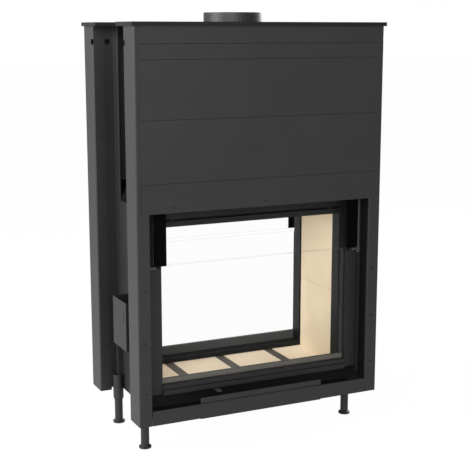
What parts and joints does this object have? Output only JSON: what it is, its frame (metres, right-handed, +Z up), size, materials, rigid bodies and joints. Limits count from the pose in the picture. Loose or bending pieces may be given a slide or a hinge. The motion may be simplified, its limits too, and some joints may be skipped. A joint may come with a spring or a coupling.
{
  "type": "tunnel fireplace insert",
  "caption": "Wood-burning tunnel fireplace insert: steel body on levelling feet, glass on both faces, guillotine doors with counterweights, flue collar and air lever.",
  "frame": {"origin": "centre of the bounding box's base: on the floor under the middle of the body", "axes": "+X to the right seen from the front, +Y from the front face to the rear face, +Z up"},
  "size_m": [0.922, 0.516, 1.464],
  "materials": {
    "body_paint": "satin graphite stove paint on folded steel",
    "black_paint": "matt black stove paint",
    "door_paint": "matt dark grey stove paint",
    "raw_steel": "dull unpainted steel",
    "bright_steel": "bright drawn or turned steel",
    "hearth_iron": "rough brown-grey iron",
    "fireclay": null,
    "glass": "clear glass-ceramic"
  },
  "bodies": {
    "body": {"lid": "body_paint", "flue_collar": "body_paint", "smoke_dome": "raw_steel", "front_column_left": "body_paint", "front_column_right": "body_paint", "rear_column_left": "body_paint", "rear_column_right": "body_paint", "side_frame_left": "body_paint", "side_frame_right": "body_paint", "front_hood": "body_paint", "rear_hood": "body_paint", "front_lintel": "body_paint", "rear_lintel": "body_paint", "front_bottom_rail": "body_paint", "rear_bottom_rail": "body_paint", "front_rail_plate": "body_paint", "rear_rail_plate": "body_paint", "base_pan": "black_paint", "front_firebox_frame": "black_paint", "rear_firebox_frame": "black_paint", "lining_left": "fireclay", "lining_right": "fireclay", "hearth_tile_1": "fireclay", "hearth_tile_2": "fireclay", "hearth_tile_3": "fireclay", "hearth_tile_4": "fireclay", "hearth_tray": "hearth_iron", "flame_baffle": "fireclay", "front_pane_holder": "black_paint", "rear_pane_holder": "black_paint", "front_upper_pane": "glass", "rear_upper_pane": "glass", "front_cable_left": "bright_steel", "front_cable_right": "bright_steel", "rear_cable_left": "bright_steel", "rear_cable_right": "bright_steel", "side_box": "body_paint"},
    "front_door": {"front_door_frame": "door_paint", "front_door_glass": "glass", "front_glass_retainer": "door_paint", "front_lift_rod_left": "door_paint", "front_lift_rod_right": "door_paint"},
    "rear_door": {"rear_door_frame": "door_paint", "rear_door_glass": "glass", "rear_glass_retainer": "door_paint", "rear_lift_rod_left": "door_paint", "rear_lift_rod_right": "door_paint"},
    "front_weights": {"front_counterweight_left": "raw_steel", "front_counterweight_right": "raw_steel"},
    "rear_weights": {"rear_counterweight_left": "raw_steel", "rear_counterweight_right": "raw_steel"},
    "front_left_pulley": {"front_pulley_left": "bright_steel"},
    "front_right_pulley": {"front_pulley_right": "bright_steel"},
    "rear_left_pulley": {"rear_pulley_left": "bright_steel"},
    "rear_right_pulley": {"rear_pulley_right": "bright_steel"},
    "air_control": {"air_lever": "door_paint"},
    "front_left_foot": {"front_foot_left": "body_paint"},
    "front_right_foot": {"front_foot_right": "body_paint"},
    "rear_left_foot": {"rear_foot_left": "body_paint"},
    "rear_right_foot": {"rear_foot_right": "body_paint"}
  },
  "joints": [
    {"name": "front_door_lift", "type": "slide", "parent": "body", "child": "front_door", "axis": [0, 0, 1], "range_m": [0, 0.41], "deforming": ["front_cable_left", "front_cable_right"]},
    {"name": "rear_door_lift", "type": "slide", "parent": "body", "child": "rear_door", "axis": [0, 0, 1], "range_m": [0, 0.41], "deforming": ["rear_cable_left", "rear_cable_right"]},
    {"name": "front_weights_drop", "type": "slide", "parent": "body", "child": "front_weights", "axis": [0, 0, 1], "range_m": [-0.41, 0]},
    {"name": "rear_weights_drop", "type": "slide", "parent": "body", "child": "rear_weights", "axis": [0, 0, 1], "range_m": [-0.41, 0]},
    {"name": "front_left_pulley_turn", "type": "hinge", "parent": "body", "child": "front_left_pulley", "pos_m": [-0.417, -0.20165, 1.357], "axis": [0, 1, 0], "range_deg": [-1382, 0]},
    {"name": "front_right_pulley_turn", "type": "hinge", "parent": "body", "child": "front_right_pulley", "pos_m": [0.417, -0.20165, 1.357], "axis": [0, 1, 0], "range_deg": [0, 1382]},
    {"name": "rear_left_pulley_turn", "type": "hinge", "parent": "body", "child": "rear_left_pulley", "pos_m": [-0.417, 0.20165, 1.357], "axis": [0, 1, 0], "range_deg": [-1382, 0]},
    {"name": "rear_right_pulley_turn", "type": "hinge", "parent": "body", "child": "rear_right_pulley", "pos_m": [0.417, 0.20165, 1.357], "axis": [0, 1, 0], "range_deg": [0, 1382]},
    {"name": "air_lever_slide", "type": "slide", "parent": "body", "child": "air_control", "axis": [1, 0, 0], "range_m": [-0.045, 0]},
    {"name": "front_left_foot_screw", "type": "slide", "parent": "body", "child": "front_left_foot", "axis": [0, 0, 1], "range_m": [-0.04, 0.02]},
    {"name": "front_right_foot_screw", "type": "slide", "parent": "body", "child": "front_right_foot", "axis": [0, 0, 1], "range_m": [-0.04, 0.02]},
    {"name": "rear_left_foot_screw", "type": "slide", "parent": "body", "child": "rear_left_foot", "axis": [0, 0, 1], "range_m": [-0.04, 0.02]},
    {"name": "rear_right_foot_screw", "type": "slide", "parent": "body", "child": "rear_right_foot", "axis": [0, 0, 1], "range_m": [-0.04, 0.02]}
  ],
  "couplings": [
    {"joint": "front_weights_drop", "follows": "front_door_lift", "ratio": -1},
    {"joint": "rear_weights_drop", "follows": "rear_door_lift", "ratio": -1},
    {"joint": "front_left_pulley_turn", "follows": "front_door_lift", "rad_per_m": -58.824},
    {"joint": "front_right_pulley_turn", "follows": "front_door_lift", "rad_per_m": 58.824},
    {"joint": "rear_left_pulley_turn", "follows": "rear_door_lift", "rad_per_m": -58.824},
    {"joint": "rear_right_pulley_turn", "follows": "rear_door_lift", "rad_per_m": 58.824}
  ]
}
